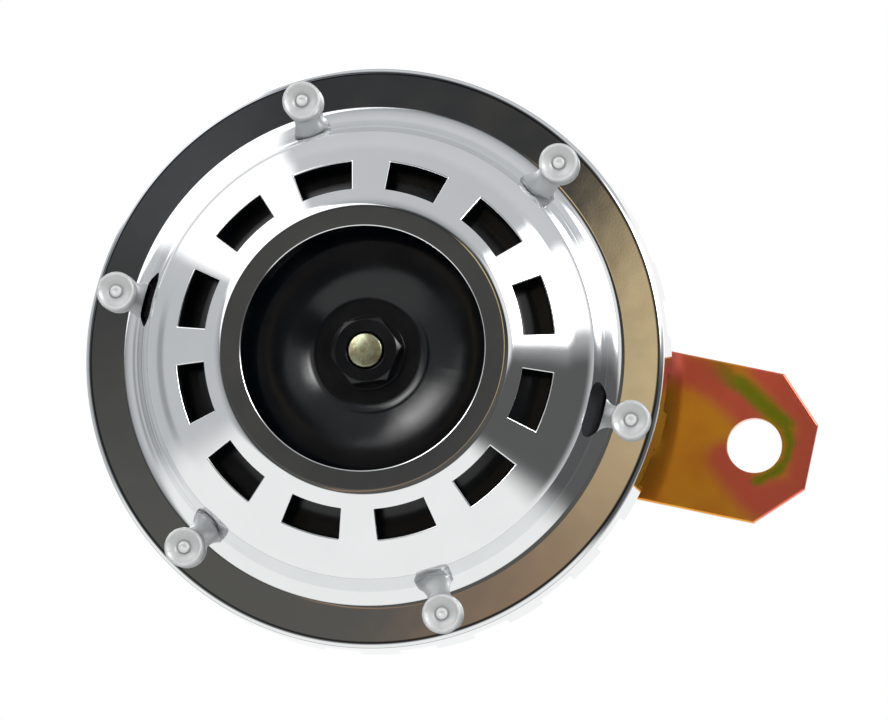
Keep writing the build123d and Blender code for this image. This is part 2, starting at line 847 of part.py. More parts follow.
def make_earth_strap():
    """Lug under the earth terminal's rivet, with a tongue for the coil lead."""
    low = housing_sheet + inner_plate_thickness
    place = Pos(*terminal_places[1], low)
    tongue = earth_lead_foot - Vector(*terminal_places[1])
    angle = math.degrees(math.atan2(tongue.Y, tongue.X))
    lug = place * extrude(Circle(terminal_rivet_head_radius), strap_thickness)
    lug += place * Rot(0, 0, angle) * Pos(tongue.length / 2, 0, 0) * extrude(
        SlotCenterToCenter(tongue.length, strap_width / 2), strap_thickness
    )
    return lug - place * extrude(Circle(terminal_rivet_radius + thread_clearance), strap_thickness)


# ---------------------------------------------------------------- bracket and its fasteners
def make_bracket():
    """A flat strap with a round end about the stud and cut corners at its free end."""
    half = bracket_width / 2
    end = bracket_reach + bracket_end_margin
    outline = Circle(half) + Polygon(
        (0, -half),
        (end - bracket_corner_cut, -half),
        (end, -half + bracket_corner_cut),
        (end, half - bracket_corner_cut),
        (end - bracket_corner_cut, half),
        (0, half),
        align=None,
    )
    strap = Pos(0, 0, bracket_back) * extrude(outline, bracket_thickness)
    flat_edges = strap.faces().filter_by(Axis.Z).edges()
    strap = fillet(flat_edges, bracket_edge_round)
    strap -= disc(mount_stud_radius + bolt_clearance, bracket_back, 0)
    return strap - Pos(bracket_reach, 0, 0) * disc(bracket_hole_radius, bracket_back, 0)


def make_lock_washer():
    bore = mount_stud_radius + bolt_clearance
    washer = disc(lock_washer_radius, lock_washer_back, mount_washer_back, bore)
    split = Pos(lock_washer_radius, 0, (lock_washer_back + mount_washer_back) / 2) * Box(
        2 * lock_washer_radius, lock_washer_split, lock_washer_thickness
    )
    return washer - Rot(0, 0, lock_washer_twist) * split


def make_mount_nut():
    nut = hex_nut(
        mount_nut_across_flats,
        mount_nut_thickness,
        mount_stud_radius + thread_clearance,
        mount_nut_twist,
    )
    return Pos(0, 0, mount_nut_back) * nut


# ---------------------------------------------------------------- the assembly
pieces = {
    "front_cover": make_front_cover(),
    "cover_rivets": make_cover_rivets(),
    "front_gasket": make_gasket(diaphragm_front),
    "diaphragm": make_diaphragm(),
    "rear_gasket": make_gasket(flange_front),
    "housing": make_housing(),
    "tone_disc": make_tone_disc(),
    "tone_disc_washer": disc(
        disc_washer_radius, disc_seat_front, disc_washer_front, stud_radius + shaft_clearance
    ),
    "tone_disc_nut": make_disc_nut(),
    "armature_stud": make_armature_stud(),
    "tone_disc_spacer": disc(
        spacer_radius, clamp_washer_front, spacer_front, stud_radius + shaft_clearance
    ),
    "diaphragm_washer": disc(
        clamp_washer_radius, diaphragm_front, clamp_washer_front, stud_radius + shaft_clearance
    ),
    "armature": make_armature(),
    "pole_core": make_pole_core(),
    "coil_bobbin": make_bobbin(),
    "coil_winding": make_winding(),
    "contact_block": pile_plate(housing_sheet, block_front),
    "live_strap": make_live_strap(),
    "fixed_contact_leaf": contact_leaf(fixed_leaf_back, adjuster_offset + adjuster_radius),
    "fixed_contact_tip": Pos(*tip_place, 0)
    * disc(contact_tip_radius, fixed_leaf_front, fixed_leaf_front + contact_tip_height),
    "contact_insulator": pile_plate(fixed_leaf_front, moving_leaf_back),
    "moving_contact_leaf": make_moving_leaf(),
    "moving_contact_tip": Pos(*tip_place, 0)
    * disc(contact_tip_radius, moving_leaf_back - contact_tip_height, moving_leaf_back),
    "clamp_insulator": pile_plate(moving_leaf_front, pile_clamp_back),
    "contact_clamp_plate": pile_plate(pile_clamp_back, pile_clamp_front),
    "contact_rivets": make_pile_rivets(),
    "adjusting_screw": make_adjusting_screw(),
    "adjusting_weld_nut": adjuster_nut(housing_sheet),
    "adjusting_lock_nut": adjuster_nut(-adjuster_nut_thickness),
    "spark_resistor": make_resistor(),
    "coil_leads": make_coil_leads(),
    "terminal_plate": make_terminal_plate(),
    "inner_terminal_plate": make_inner_plate(),
    "live_terminal": make_terminal(terminal_places[0]),
    "earth_terminal": make_terminal(terminal_places[1]),
    "earth_strap": make_earth_strap(),
    "terminal_rivets": make_terminal_rivets(),
    "bracket": make_bracket(),
    "mounting_washer": disc(
        mount_washer_radius, mount_washer_back, bracket_back, mount_stud_radius + bolt_clearance
    ),
    "mounting_lock_washer": make_lock_washer(),
    "mounting_nut": make_mount_nut(),
}

# Turn the horn's frame into the part's frame: front along -Y, up along +Z.
in_part_frame = Pos(-bracket_reach, -bracket_thickness, 0) * Rot(90, 0, 0)

os.makedirs("parts", exist_ok=True)
for name, piece in pieces.items():
    export_step(in_part_frame * piece, f"parts/{name}.step")
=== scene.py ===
import json
import math

import bpy
import numpy as np
from mathutils import Matrix, Vector


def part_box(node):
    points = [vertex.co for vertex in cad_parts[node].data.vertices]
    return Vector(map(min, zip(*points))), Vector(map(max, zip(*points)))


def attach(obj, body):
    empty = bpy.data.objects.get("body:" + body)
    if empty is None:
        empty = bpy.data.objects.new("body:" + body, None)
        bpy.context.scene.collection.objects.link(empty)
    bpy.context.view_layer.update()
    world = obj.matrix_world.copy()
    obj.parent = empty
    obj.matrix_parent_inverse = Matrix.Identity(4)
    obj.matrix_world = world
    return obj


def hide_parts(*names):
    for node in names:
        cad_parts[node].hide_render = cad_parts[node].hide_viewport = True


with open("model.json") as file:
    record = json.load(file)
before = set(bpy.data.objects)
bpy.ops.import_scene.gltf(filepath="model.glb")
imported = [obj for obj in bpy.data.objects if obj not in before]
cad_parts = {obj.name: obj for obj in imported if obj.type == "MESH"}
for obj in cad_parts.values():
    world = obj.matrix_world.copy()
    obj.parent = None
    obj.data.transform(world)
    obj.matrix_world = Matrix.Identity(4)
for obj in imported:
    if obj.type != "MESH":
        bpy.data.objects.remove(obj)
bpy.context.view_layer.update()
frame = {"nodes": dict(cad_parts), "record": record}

# Looks of a disc horn.  Lengths are metres and angles are degrees.  The horn axis runs along Y and
# the front looks along -Y.  Heights are measured along the axis from the back of the housing, and
# angles round the axis start at the bracket and turn towards +Z.
MM = 0.001

# ---------------------------------------------------------------- places read from the frame
disc_low, disc_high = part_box("tone_disc")
cover_low, cover_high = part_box("front_cover")
_, housing_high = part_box("housing")
_, rivets_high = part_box("cover_rivets")
axis_x = (disc_low.x + disc_high.x) / 2
seat_y = housing_high.y
mouth_height = seat_y - cover_low.y
skirt_end = seat_y - cover_high.y
skirt_end_radius = (cover_high.z - cover_low.z) / 2

# ---------------------------------------------------------------- camera
# The view is given by how the horn lies in the picture: where its mouth is, how far its axis
# leans from the view and which way, and how its bracket is turned.
picture_width, picture_height = 888, 720
sensor_width = 36.0
camera_distance = 0.700
pixels_per_metre = 6340.0            # at the plane of the mouth
mouth_pixel = (361.98, 347.51)
lean = 9.03                          # horn axis from the view's axis
lean_direction = 42.66               # the way deeper points shift, clockwise from image right
bracket_turn = 11.9                  # bracket from image right, clockwise

turn = math.radians(bracket_turn)
image_right = Vector((math.cos(turn), 0, math.sin(turn)))
image_up = Vector((-math.sin(turn), 0, math.cos(turn)))
horn_front = Vector((0, -1, 0))


def camera_axes():
    """Right, up and backward directions of the camera."""
    away = math.radians(lean_direction)
    hinge = Vector((-math.sin(away), -math.cos(away), 0))
    lean_turn = Matrix.Rotation(math.radians(lean), 3, hinge)
    axes = []
    for row in lean_turn:
        axes.append(row[0] * image_right + row[1] * image_up + row[2] * horn_front)
    return axes


def make_camera():
    """A camera that puts the mouth of the horn on its pixel."""
    right, up, back = camera_axes()
    focal_pixels = pixels_per_metre * camera_distance
    aside = (mouth_pixel[0] - picture_width / 2) / focal_pixels * camera_distance
    above = (picture_height / 2 - mouth_pixel[1]) / focal_pixels * camera_distance
    mouth = Vector((axis_x, seat_y - mouth_height, 0))
    place = mouth - aside * right - above * up + camera_distance * back
    data = bpy.data.cameras.new("camera")
    data.sensor_width = sensor_width
    data.lens = sensor_width * focal_pixels / picture_width
    data.clip_start, data.clip_end = 0.01, 20
    camera = bpy.data.objects.new("camera", data)
    camera.matrix_world = Matrix.Translation(place) @ Matrix((right, up, back)).transposed().to_4x4()
    bpy.context.scene.collection.objects.link(camera)
    bpy.context.scene.camera = camera


# ---------------------------------------------------------------- node helpers
def put(socket, value):
    """Link a socket to another node's output, or set its number or colour."""
    if isinstance(value, bpy.types.NodeSocket):
        socket.node.id_data.links.new(value, socket)
    elif isinstance(value, (tuple, list)) and len(value) == 3 and socket.type == "RGBA":
        socket.default_value = (*value, 1.0)
    else:
        socket.default_value = value


def calc(tree, operation, *values):
    """A number worked out from others."""
    node = tree.nodes.new("ShaderNodeMath")
    node.operation = operation
    for socket, value in zip(node.inputs, values):
        put(socket, value)
    return node.outputs[0]


def dot(tree, vector, direction):
    """How far a vector reaches along a direction."""
    node = tree.nodes.new("ShaderNodeVectorMath")
    node.operation = "DOT_PRODUCT"
    put(node.inputs[0], vector)
    node.inputs[1].default_value = direction
    return node.outputs["Value"]


def distance(tree, first, second):
    """Length of the slant over two legs at right angles."""
    return calc(tree, "SQRT", calc(
        tree, "ADD", calc(tree, "MULTIPLY", first, first), calc(tree, "MULTIPLY", second, second)))


def ramp_between(tree, value, start, end, low=0.0, high=1.0):
    """low before start and high after end, with a smooth change between."""
    node = tree.nodes.new("ShaderNodeMapRange")
    node.interpolation_type = "SMOOTHSTEP"
    put(node.inputs["Value"], value)
    for name, number in (("From Min", start), ("From Max", end), ("To Min", low), ("To Max", high)):
        put(node.inputs[name], number)
    return node.outputs[0]


def blend(tree, share, first, second):
    """A colour that goes from first to second with the share."""
    node = tree.nodes.new("ShaderNodeMix")
    node.data_type = "RGBA"
    put(node.inputs[0], share)
    put(node.inputs[6], first)
    put(node.inputs[7], second)
    return node.outputs[2]


def colour_ramp(tree, value, stops):
    """A colour by value, from stops of (value, colour)."""
    node = tree.nodes.new("ShaderNodeValToRGB")
    put(node.inputs[0], value)
    elements = node.color_ramp.elements
    while len(elements) < len(stops):
        elements.new(1.0)
    for element, (place, colour) in zip(elements, stops):
        element.position = place
        element.color = (*colour, 1.0)
    return node.outputs[0]


def noise(tree, vector, size, detail=3.0, roughness=0.5):
    """Noise from 0 to 1 whose patches are about this size."""
    node = tree.nodes.new("ShaderNodeTexNoise")
    put(node.inputs["Vector"], vector)
    node.inputs["Scale"].default_value = 1 / size
    node.inputs["Detail"].default_value = detail
    node.inputs["Roughness"].default_value = roughness
    return node.outputs["Fac"]


def object_place(tree):
    """Where a point lies on its piece."""
    return tree.nodes.new("ShaderNodeTexCoord").outputs["Object"]


def bump(tree, height, depth, normal=None):
    """A bump whose height from 0 to 1 stands for this depth."""
    node = tree.nodes.new("ShaderNodeBump")
    node.inputs["Strength"].default_value = 1.0
    node.inputs["Distance"].default_value = depth
    put(node.inputs["Height"], height)
    if normal is not None:
        put(node.inputs["Normal"], normal)
    return node.outputs[0]


def new_material(name):
    """A material with its nodes and its shader."""
    material = bpy.data.materials.new(name)
    material.use_nodes = True
    tree = material.node_tree
    return material, tree, tree.nodes["Principled BSDF"]


# ---------------------------------------------------------------- studio
# The room is laid out by direction: the tilt from the horn's front, and the azimuth round its axis,
# from the right of the picture towards its top.
dark_room = (0.038, 0.039, 0.040)
mid_wall = (0.52, 0.53, 0.54)
white_table = (0.92, 0.93, 0.92)
room_by_tilt = [
    (0, dark_room), (17, dark_room), (24, (0.36, 0.37, 0.38)), (42, mid_wall), (74, (0.62, 0.63, 0.64)),
    (112, (0.60, 0.61, 0.62)), (128, (0.38, 0.39, 0.40)), (150, (0.42, 0.43, 0.44)),
    (163, (0.95, 0.95, 0.95)), (180, (1.0, 1.0, 1.0)),
]
front_end = (12.8, 14.4)             # tilts between which the dark part in front ends
low_light = (0.098, 0.096, 0.088)    # that part towards the bottom
low_light_heights = (0.075, 0.165)
corner_light = (0.11, 0.112, 0.115)  # and in its upper left corner
corner_across = (-0.17, -0.145)
corner_heights = (0.14, 0.165)

# the warm card in front is a strip, darker at one end
card_dark = (0.28, 0.19, 0.125)
card_light = (0.62, 0.48, 0.27)
card_turn = -26                      # the way across the strip, from the right of the picture
card_edge = -0.121
card_soft = 0.016
card_far_edge = (card_edge + 0.036, card_edge + 0.052)
card_run = (0.018, 0.088)            # places along it between which it goes from dark to light

# Each patch: azimuth of its middle, half its width, first and last tilt, then the softness of its
# sides, of its first edge and of its last edge.
room_patches = [
    ((0.85, 0.85, 0.85), (24, 34, 16, 31, 8, 1.6, 3)),          # bright sheet at the right
    ((0.52, 0.535, 0.54), (178, 24, 58, 122, 8, 8, 14)),        # darker left side
    ((0.26, 0.265, 0.27), (180, 15, 66, 82, 6, 5, 6, 0.7)),     # a shelf in it, shown at 0.7
    (white_table, (262, 62, 18, 126, 6, 3, 9)),                 # below
    ((0.105, 0.105, 0.105), (344, 24, 15, 106, 7, 3, 14)),      # dark gap at the right
]
lamp_light = 1.5                     # over a lamp's diffuser
lamp_core = 12.0                     # where the bulb is behind it
lamp_spread = (15, 45)               # tilts over which a lamp's widening towards the front ends
lamps = [                            # azimuth, half width, widening, then as a patch
    (25, 12.5, 6, (37, 108, 2.5, 3, 6)),
    (134, 16, 10, (18, 108, 2.5, 2.5, 6)),
]
lit_patches = [                      # white walls behind the lamps, then the bulbs
    (lamp_light, (18, 24, 126, 158, 5, 5, 8)),
    (lamp_light, (134, 28, 118, 158, 5, 8, 8)),
    (1.4 * lamp_core, (30, 13, 38, 56, 9, 8, 10)),
    (lamp_core, (134, 13, 30, 42, 9, 12, 12)),
]


def room_in_front(tree, colour, direction, across, above, tilt):
    """The dark part in front: uneven, lighter at the bottom and in a corner, with the warm card."""
    in_front = ramp_between(tree, tilt, *front_end, 1.0, 0.0)
    streaks = noise(tree, direction, 0.035, 4)
    height = calc(tree, "ADD", above, calc(tree, "MULTIPLY", streaks, 0.04))
    low = calc(tree, "MULTIPLY", in_front, ramp_between(tree, height, *low_light_heights, 1.0, 0.0))
    colour = blend(tree, low, colour, low_light)
    corner = calc(tree, "MULTIPLY", ramp_between(tree, across, *corner_across, 0.5, 0.0),
                  ramp_between(tree, height, *corner_heights))
    colour = blend(tree, calc(tree, "MULTIPLY", in_front, corner), colour, corner_light)

    aside = math.radians(card_turn)
    card_way = image_right * math.cos(aside) + image_up * math.sin(aside)
    card_side = image_up * math.cos(aside) - image_right * math.sin(aside)
    uneven = noise(tree, direction, 0.05, 3)
    reach = calc(tree, "ADD", dot(tree, direction, card_way), calc(tree, "MULTIPLY", uneven, 0.012))
    on_card = ramp_between(tree, reach, card_edge - card_soft, card_edge + card_soft)
    on_card = calc(tree, "MULTIPLY", on_card, ramp_between(tree, reach, *card_far_edge, 1.0, 0.0))
    on_card = calc(tree, "MULTIPLY", on_card, in_front)
    along_card = calc(tree, "ADD", dot(tree, direction, card_side), calc(tree, "MULTIPLY", uneven, 0.03))
    card = blend(tree, ramp_between(tree, along_card, *card_run), card_dark, card_light)
    return blend(tree, on_card, colour, card)


def studio_colour(tree):
    """The colour of the room in each direction."""
    direction = tree.nodes.new("ShaderNodeTexCoord").outputs["Generated"]
    across = dot(tree, direction, image_right)
    above = dot(tree, direction, image_up)
    ahead = dot(tree, direction, horn_front)
    tilt = calc(tree, "DEGREES", calc(tree, "ARCCOSINE", ahead))
    azimuth = calc(tree, "DEGREES", calc(tree, "ARCTAN2", above, across))

    def patch(colour, under, centre, half_width, start, end, side_soft, start_soft, end_soft, share=1.0):
        away = calc(tree, "ABSOLUTE", calc(tree, "WRAP", calc(tree, "SUBTRACT", azimuth, centre), 180, -180))
        beyond = calc(tree, "SUBTRACT", away, half_width)
        mask = ramp_between(tree, beyond, -side_soft, side_soft, share, 0.0)
        rise = ramp_between(tree, tilt, start - start_soft, start + start_soft)
        fall = ramp_between(tree, tilt, end - end_soft, end + end_soft, 1.0, 0.0)
        mask = calc(tree, "MULTIPLY", calc(tree, "MULTIPLY", mask, rise), fall)
        return blend(tree, mask, under, colour)

    stops = [(tilt_there / 180, colour) for tilt_there, colour in room_by_tilt]
    colour = colour_ramp(tree, calc(tree, "DIVIDE", tilt, 180), stops)
    colour = room_in_front(tree, colour, direction, across, above, tilt)
    for shade, edges in room_patches:
        colour = patch(shade, colour, *edges)
    spread = ramp_between(tree, tilt, *lamp_spread, 1.0, 0.0)
    for centre, half_width, widening, edges in lamps:
        width = calc(tree, "ADD", half_width, calc(tree, "MULTIPLY", spread, widening))
        colour = patch((lamp_light,) * 3, colour, centre, width, *edges)
    for level, edges in lit_patches:
        colour = patch((level,) * 3, colour, *edges)
    return colour


def make_world():
    """The room lights the horn and shows in its metal; the camera itself sees plain white."""
    world = bpy.data.worlds.new("studio")
    world.use_nodes = True
    bpy.context.scene.world = world
    tree = world.node_tree
    background = tree.nodes["Background"]
    room = studio_colour(tree)
    camera_ray = tree.nodes.new("ShaderNodeLightPath").outputs["Is Camera Ray"]
    put(background.inputs["Color"], blend(tree, camera_ray, room, (1.0, 1.0, 1.0)))
    background.inputs["Strength"].default_value = 1.0


floor_height = -0.115
floor_reach = 2.5
floor_fade = (0.18, 0.75)            # distances between which it fades to white


def make_floor():
    """A pale floor that fades to white with distance and can't hide the horn from below."""
    mesh = bpy.data.meshes.new("floor")
    corners = [(across * floor_reach, along * floor_reach, floor_height)
               for across, along in ((-1, -1), (1, -1), (1, 1), (-1, 1))]
    mesh.from_pydata(corners, [], [(0, 1, 2, 3)])
    floor = bpy.data.objects.new("floor", mesh)
    bpy.context.scene.collection.objects.link(floor)
    floor.visible_glossy = False
    material, tree, shader = new_material("pale_floor")
    place = object_place(tree)
    cloudy = noise(tree, place, 0.06, 4)
    put(shader.inputs["Base Color"], blend(tree, cloudy, (0.88, 0.88, 0.87), (0.92, 0.92, 0.91)))
    shader.inputs["Roughness"].default_value = 0.8
    node = tree.nodes.new("ShaderNodeVectorMath")
    node.operation = "LENGTH"
    put(node.inputs[0], place)
    far = ramp_between(tree, node.outputs["Value"], *floor_fade)
    light_path = tree.nodes.new("ShaderNodeLightPath")
    glow = tree.nodes.new("ShaderNodeEmission")
    glow.inputs["Color"].default_value = (1, 1, 1, 1)
    glow.inputs["Strength"].default_value = 1.0
    fade = tree.nodes.new("ShaderNodeMixShader")
    put(fade.inputs[0], calc(tree, "MULTIPLY", far, light_path.outputs["Is Camera Ray"]))
    put(fade.inputs[1], shader.outputs[0])
    put(fade.inputs[2], glow.outputs[0])
    see_through = tree.nodes.new("ShaderNodeBsdfTransparent")
    geometry = tree.nodes.new("ShaderNodeNewGeometry")
    one_sided = tree.nodes.new("ShaderNodeMixShader")
    put(one_sided.inputs[0], geometry.outputs["Backfacing"])
    put(one_sided.inputs[1], fade.outputs[0])
    put(one_sided.inputs[2], see_through.outputs[0])
    put(tree.nodes["Material Output"].inputs["Surface"], one_sided.outputs[0])
    mesh.materials.append(material)


# ---------------------------------------------------------------- materials
def from_axis(tree, place):
    """Distance from the horn axis."""
    split = tree.nodes.new("ShaderNodeSeparateXYZ")
    put(split.inputs[0], place)
    across = calc(tree, "SUBTRACT", split.outputs["X"], axis_x)
    return distance(tree, across, split.outputs["Z"])


def chrome_plate():
    """Bright plating over pressed steel: faint ripple, fine pits, haze, and a painted line of shade in the
    rim's fold.
    """
    material, tree, shader = new_material("chrome_plate")
    place = object_place(tree)
    haze = noise(tree, place, 7 * MM, 3)
    bright = blend(tree, haze, (0.90, 0.91, 0.92), (0.84, 0.85, 0.86))
    # painted shade: a dark line laid into the plating where the rim folds back
    off_fold_shade = calc(tree, "ABSOLUTE", calc(tree, "SUBTRACT", from_axis(tree, place), rim_radius - fold_shade_inset))
    fold_shade = ramp_between(tree, off_fold_shade, *fold_shade_reach, 0.9, 0.0)
    put(shader.inputs["Base Color"], blend(tree, fold_shade, bright, (0.030, 0.034, 0.045)))
    shader.inputs["Metallic"].default_value = 1.0
    put(shader.inputs["Roughness"], ramp_between(tree, haze, 0.3, 0.75, 0.035, 0.075))
    ripple = bump(tree, noise(tree, place, 5 * MM, 1), 0.006 * MM)
    put(shader.inputs["Normal"], bump(tree, noise(tree, place, 0.35 * MM, 2), 0.0006 * MM, ripple))
    return material


def rivet_alloy():
    """Satin aluminium, milky, with painted shade in the groove round each head's middle and painted
    highlights on its middle and rim.
    """
    material, tree, shader = new_material("rivet_alloy")
    place = object_place(tree)
    cloud = noise(tree, place, 1.2 * MM, 4)
    # how far a point is from the middle of its rivet
    split = tree.nodes.new("ShaderNodeSeparateXYZ")
    put(split.inputs[0], place)
    across = calc(tree, "SUBTRACT", split.outputs["X"], axis_x)
    turned = calc(tree, "ARCTAN2", split.outputs["Z"], across)
    turned = calc(tree, "SUBTRACT", turned, math.radians(rivet_twist))
    half_pitch = math.pi / rivet_count
    turned = calc(tree, "WRAP", turned, half_pitch, -half_pitch)
    radius = distance(tree, across, split.outputs["Z"])
    along = calc(tree, "MULTIPLY", radius, calc(tree, "COSINE", turned))
    along = calc(tree, "SUBTRACT", along, rivet_circle_radius)
    aside = calc(tree, "MULTIPLY", radius, calc(tree, "SINE", turned))
    reach = distance(tree, along, aside)
    # painted light and shade in rings: dark in the groove round the middle, light on the middle bump and near
    # the rim
    ring_shade_and_highlight = colour_ramp(tree, calc(tree, "DIVIDE", reach, rivet_head_radius), [
        (0.0, (0.56, 0.57, 0.57)), (0.26, (0.58, 0.59, 0.59)), (0.33, (0.27, 0.28, 0.28)),
        (0.42, (0.40, 0.41, 0.41)), (0.75, (0.46, 0.47, 0.47)), (0.88, (0.56, 0.57, 0.57)),
        (1.0, (0.48, 0.49, 0.49)),
    ])
    grubby = calc(tree, "MULTIPLY", cloud, 0.4)
    put(shader.inputs["Base Color"], blend(tree, grubby, ring_shade_and_highlight, (0.42, 0.43, 0.43)))
    shader.inputs["Metallic"].default_value = 0.4
    put(shader.inputs["Roughness"], ramp_between(tree, cloud, 0.3, 0.7, 0.40, 0.55))
    put(shader.inputs["Normal"], bump(tree, noise(tree, place, 0.25 * MM, 4), 0.006 * MM))
    return material


def edge_round(tree, radius):
    """A normal that rounds the edges of a piece."""
    node = tree.nodes.new("ShaderNodeBevel")
    node.samples = 4
    node.inputs["Radius"].default_value = radius
    return node.outputs[0]


def gloss_black(name, gloss, edge, density, grey):
    """Black stoving enamel with a soft shine, a little dust and orange peel."""
    material, tree, shader = new_material(name)
    place = object_place(tree)
    cloud = noise(tree, place, 6 * MM, 4)
    deep = (0.0006 + grey, 0.0012 + grey, 0.0022 + grey)
    dusty = (0.0016 + grey, 0.0022 + grey, 0.0034 + grey)
    put(shader.inputs["Base Color"], blend(tree, cloud, deep, dusty))
    put(shader.inputs["Roughness"], ramp_between(tree, cloud, 0.3, 0.7, gloss, gloss + 0.05))
    shader.inputs["IOR"].default_value = density
    put(shader.inputs["Normal"], bump(
        tree, noise(tree, place, 0.9 * MM, 2), 0.003 * MM, edge_round(tree, edge)))
    return material


stud_dome_height = 0.17 * MM


def zinc(name, bright, dull, patch_size, roughness, edge, dark_from=None):
    """A zinc finish that drifts between two tones, with a fine grain.

    From dark_from outwards a ring of painted shade darkens it, and inside that a low dome."""
    material, tree, shader = new_material(name)
    place = object_place(tree)
    cloud = noise(tree, place, patch_size, 4, 0.6)
    colour = blend(tree, ramp_between(tree, cloud, 0.35, 0.65), bright, dull)
    if dark_from:
        # painted shade: a dark ring round the edge of the stud's end, where it sits in the nut
        edge_shade = ramp_between(tree, from_axis(tree, place), dark_from, dark_from + 0.12 * MM)
        colour = blend(tree, edge_shade, colour, (0.015, 0.015, 0.012))
    put(shader.inputs["Base Color"], colour)
    shader.inputs["Metallic"].default_value = 1.0
    put(shader.inputs["Roughness"], ramp_between(tree, cloud, 0.3, 0.7, roughness, roughness + 0.12))
    grain = bump(tree, noise(tree, place, 0.8 * MM, 2), 0.001 * MM, edge_round(tree, edge))
    if dark_from:
        swell = calc(tree, "POWER", calc(tree, "DIVIDE", from_axis(tree, place), dark_from), 2.5)
        grain = bump(tree, calc(tree, "SUBTRACT", 1, swell), stud_dome_height, grain)
    put(shader.inputs["Normal"], grain)
    return material


def near_line(tree, across, up, first, second):
    """Distance in millimetres to a line between two points of the bracket's face."""
    run = Vector(second) - Vector(first)
    along_x = calc(tree, "SUBTRACT", across, first[0])
    along_z = calc(tree, "SUBTRACT", up, first[1])
    reach = calc(tree, "ADD", calc(tree, "MULTIPLY", along_x, run.x), calc(tree, "MULTIPLY", along_z, run.y))
    share = calc(tree, "MAXIMUM", calc(tree, "DIVIDE", reach, run.length_squared), 0)
    share = calc(tree, "MINIMUM", share, 1)
    left_x = calc(tree, "SUBTRACT", along_x, calc(tree, "MULTIPLY", share, run.x))
    left_z = calc(tree, "SUBTRACT", along_z, calc(tree, "MULTIPLY", share, run.y))
    return distance(tree, left_x, left_z)


# where the dip left its colours, in millimetres from the free hole
green_run = [(-10.5, 11.9), (-8.5, 10.9), (-4.3, 9.4), (-0.3, 7.3), (4.3, 4.4), (6.2, 1.0), (5.7, -1.7),
             (3.5, -4.0), (1.2, -5.2)]
wide_green = 4                       # the first runs of it, which are wider
wide_green_reach = (0.3, 2.3)        # distances from a run over which its colour fades
thin_green_reach = (0.0, 1.6)
red_reach = (1.0, 4.4)
green_start = (-11, -4)              # where the green sets in, along the bracket
red_runs = [((-15.0, 10.4), (-8.0, 8.6)), ((-8.0, 8.6), (-2.6, 5.6)), ((-4.5, -3.0), (1.0, -8.0)),
            ((1.0, -8.0), (9.0, -12.0)), ((8.8, -6.0), (8.6, 5.5)), ((8.6, 5.5), (-1.0, 12.6)),
            ((2.0, -8.0), (8.8, -6.0))]


def yellow_zinc():
    """Yellow chromate over zinc: gold and orange, with the red and green bands the dip leaves."""
    material, tree, shader = new_material("yellow_zinc")
    place = object_place(tree)
    split = tree.nodes.new("ShaderNodeSeparateXYZ")
    put(split.inputs[0], place)
    wander = calc(tree, "MULTIPLY", calc(tree, "SUBTRACT", noise(tree, place, 5 * MM, 3), 0.5), 3.0)
    across = calc(tree, "ADD", calc(tree, "DIVIDE", split.outputs["X"], MM), wander)
    up = calc(tree, "SUBTRACT", calc(tree, "DIVIDE", split.outputs["Z"], MM), wander)

    def band(runs, reach):
        gaps = [near_line(tree, across, up, *run) for run in runs]
        gap = gaps[0]
        for other in gaps[1:]:
            gap = calc(tree, "MINIMUM", gap, other)
        return ramp_between(tree, gap, *reach, 1.0, 0.0)

    slow = noise(tree, place, 9 * MM, 3)
    gold = blend(tree, ramp_between(tree, slow, 0.35, 0.65), (1.0, 0.46, 0.040), (0.98, 0.36, 0.036))
    red = blend(tree, slow, (1.0, 0.16, 0.140), (0.90, 0.16, 0.110))
    green = blend(tree, slow, (0.19, 0.340, 0.008), (0.31, 0.370, 0.013))
    colour = blend(tree, band(red_runs, red_reach), gold, red)
    runs = list(zip(green_run, green_run[1:]))
    wide = band(runs[:wide_green], wide_green_reach)
    wide = calc(tree, "MULTIPLY", wide, ramp_between(tree, across, *green_start))
    thin = band(runs[wide_green:], thin_green_reach)
    colour = blend(tree, calc(tree, "MAXIMUM", wide, thin), colour, green)
    grain = noise(tree, place, 0.5 * MM, 3)
    colour = blend(tree, calc(tree, "MULTIPLY", grain, 0.35), colour, (0.52, 0.26, 0.06))
    put(shader.inputs["Base Color"], colour)
    shader.inputs["Metallic"].default_value = 0.88
    put(shader.inputs["Roughness"], ramp_between(tree, slow, 0.3, 0.7, 0.13, 0.17))
    put(shader.inputs["Normal"], bump(
        tree, noise(tree, place, 0.4 * MM, 4), 0.003 * MM, edge_round(tree, 0.12 * MM)))
    return material


# light tone, dark tone, size of the patches in millimetres, roughness and how metallic
plain_finishes = {
    "gasket_paper": ((0.12, 0.10, 0.08), (0.07, 0.06, 0.05), 2, 0.8, 0.0),
    "spring_steel": ((0.11, 0.11, 0.12), (0.07, 0.07, 0.08), 5, 0.42, 1.0),
    "soft_iron": ((0.42, 0.41, 0.40), (0.30, 0.29, 0.28), 4, 0.4, 1.0),
    "bobbin_nylon": ((0.75, 0.72, 0.64), (0.68, 0.65, 0.57), 6, 0.45, 0.0),
    "enamelled_copper": ((0.62, 0.25, 0.10), (0.45, 0.16, 0.06), 2, 0.3, 0.8),
    "phenolic": ((0.16, 0.075, 0.035), (0.09, 0.04, 0.02), 1.5, 0.42, 0.0),
    "spring_bronze": ((0.68, 0.42, 0.20), (0.55, 0.33, 0.15), 3, 0.3, 1.0),
    "tungsten": ((0.45, 0.45, 0.44), (0.34, 0.34, 0.34), 1, 0.4, 1.0),
    "tinned_brass": ((0.76, 0.75, 0.71), (0.62, 0.60, 0.55), 3, 0.28, 1.0),
    "resistor_ceramic": ((0.55, 0.50, 0.40), (0.45, 0.40, 0.32), 1, 0.6, 0.0),
}


